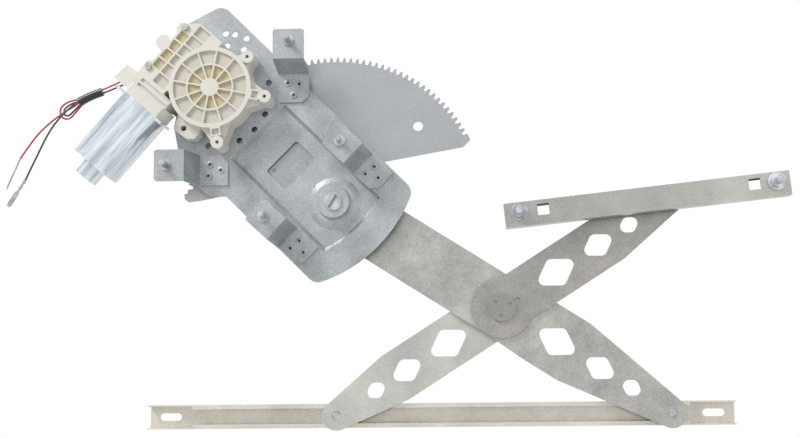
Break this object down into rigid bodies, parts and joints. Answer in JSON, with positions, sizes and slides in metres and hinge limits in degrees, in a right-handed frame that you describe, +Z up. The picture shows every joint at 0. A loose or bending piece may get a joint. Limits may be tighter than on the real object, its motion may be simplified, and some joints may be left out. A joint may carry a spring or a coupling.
{
  "type": "crossed-arm window regulator with gear motor",
  "caption": "Power window regulator: a gear motor turns a toothed sector that swings crossed steel arms and raises the channel under the glass.",
  "frame": {"origin": "on the axis of the lift arm's pivot, in the plane of the four bracket seats that meet the door's inner panel", "axes": "+X runs along the glass channel, to the right as seen from the cabin, +Y runs from the inner panel into the door, +Z is up"},
  "size_m": [0.7907, 0.076, 0.4347],
  "materials": {
    "zinc_steel": "galvanised sheet with a faint spangle",
    "bright_zinc": "bright zinc plate",
    "housing_plastic": "natural moulded plastic",
    "gear_plastic": "natural moulded plastic",
    "shoe_plastic": "low-friction moulded plastic",
    "black_rubber": "soft rubber",
    "red_insulation": "soft insulation",
    "dark_green_insulation": "soft insulation",
    "black_tape": "wound tape",
    "tinned_metal": "tinned crimp metal",
    "magnet_grey": "sintered",
    "copper": "bare copper"
  },
  "bodies": {
    "base": {"base_plate": "zinc_steel", "bracket_top": "zinc_steel", "bracket_left": "zinc_steel", "bracket_right": "zinc_steel", "bracket_lower": "zinc_steel", "bracket_rivets": "bright_zinc", "panel_studs": "bright_zinc", "pivot_pin": "bright_zinc", "pivot_bush": "shoe_plastic", "gear_housing": "housing_plastic", "housing_cover": "housing_plastic", "motor_can": "bright_zinc", "housing_screws": "bright_zinc", "gearbox_screws": "bright_zinc", "motor_magnets": "magnet_grey", "brush_holder": "housing_plastic", "red_wire": "red_insulation", "green_wire": "dark_green_insulation", "tape_wrap": "black_tape", "red_bare_end": "tinned_metal", "green_terminal": "tinned_metal"},
    "lift_arm_body": {"lift_arm": "zinc_steel", "sector_gear": "zinc_steel", "sector_rivets": "bright_zinc", "right_pin": "bright_zinc"},
    "equalizer_arm": {"equalizer_arm_upper": "zinc_steel", "equalizer_arm_lower": "zinc_steel", "centre_pivot_hub": "bright_zinc", "centre_spacer": "shoe_plastic", "left_pin": "bright_zinc", "upper_pin": "bright_zinc"},
    "right_slider_body": {"right_slider": "shoe_plastic"},
    "left_slider_body": {"left_slider": "shoe_plastic"},
    "upper_slider_body": {"upper_slider": "shoe_plastic"},
    "glass_channel_body": {"glass_channel": "zinc_steel"},
    "equalizer_channel_body": {"equalizer_channel": "zinc_steel", "equalizer_bolts": "bright_zinc"},
    "output_gear": {"worm_wheel": "gear_plastic", "rubber_damper": "black_rubber", "drive_hub": "bright_zinc", "pinion": "bright_zinc", "retaining_clip": "bright_zinc"},
    "armature": {"armature_shaft": "bright_zinc", "armature_core": "magnet_grey", "commutator": "copper"}
  },
  "joints": [
    {"name": "lift_arm_swing", "type": "hinge", "parent": "base", "child": "lift_arm_body", "pos_m": [0, 0.0405, 0], "axis": [0, -1, 0], "range_deg": [-4, 68]},
    {"name": "equalizer_swing", "type": "hinge", "parent": "lift_arm_body", "child": "equalizer_arm", "pos_m": [0.16868, 0.042, -0.10746], "axis": [0, -1, 0], "range_deg": [-140, 10]},
    {"name": "upper_slider_turn", "type": "hinge", "parent": "equalizer_arm", "child": "upper_slider_body", "pos_m": [0.33736, 0.028, 0], "axis": [0, -1, 0], "range_deg": [-6, 70]},
    {"name": "equalizer_channel_slide", "type": "slide", "parent": "upper_slider_body", "child": "equalizer_channel_body", "axis": [0.9946, 0, 0.1035], "range_m": [-0.07, 0.12]},
    {"name": "right_slider_turn", "type": "hinge", "parent": "lift_arm_body", "child": "right_slider_body", "pos_m": [0.33736, 0.055, -0.21492], "axis": [0, -1, 0], "range_deg": [-70, 6]},
    {"name": "glass_channel_slide", "type": "slide", "parent": "right_slider_body", "child": "glass_channel_body", "axis": [1, 0, 0], "range_m": [-0.004, 0.06]},
    {"name": "left_slider_turn", "type": "hinge", "parent": "equalizer_arm", "child": "left_slider_body", "pos_m": [0, 0.055, -0.21492], "axis": [0, -1, 0], "range_deg": [-6, 70]},
    {"name": "output_gear_turn", "type": "hinge", "parent": "base", "child": "output_gear", "pos_m": [-0.12165, 0.025, 0.11544], "axis": [0, -1, 0], "range_deg": [-600, 40]},
    {"name": "armature_turn", "type": "hinge", "parent": "base", "child": "armature", "pos_m": [-0.15168, 0.018, 0.14155], "axis": [0.6561, 0, 0.7547], "continuous": true}
  ],
  "couplings": [
    {"joint": "equalizer_swing", "follows": "lift_arm_swing", "ratio": -2},
    {"joint": "upper_slider_turn", "follows": "lift_arm_swing", "ratio": 1},
    {"joint": "right_slider_turn", "follows": "lift_arm_swing", "ratio": -1},
    {"joint": "left_slider_turn", "follows": "lift_arm_swing", "ratio": 1},
    {"joint": "output_gear_turn", "follows": "lift_arm_swing", "ratio": -8.75}
  ]
}
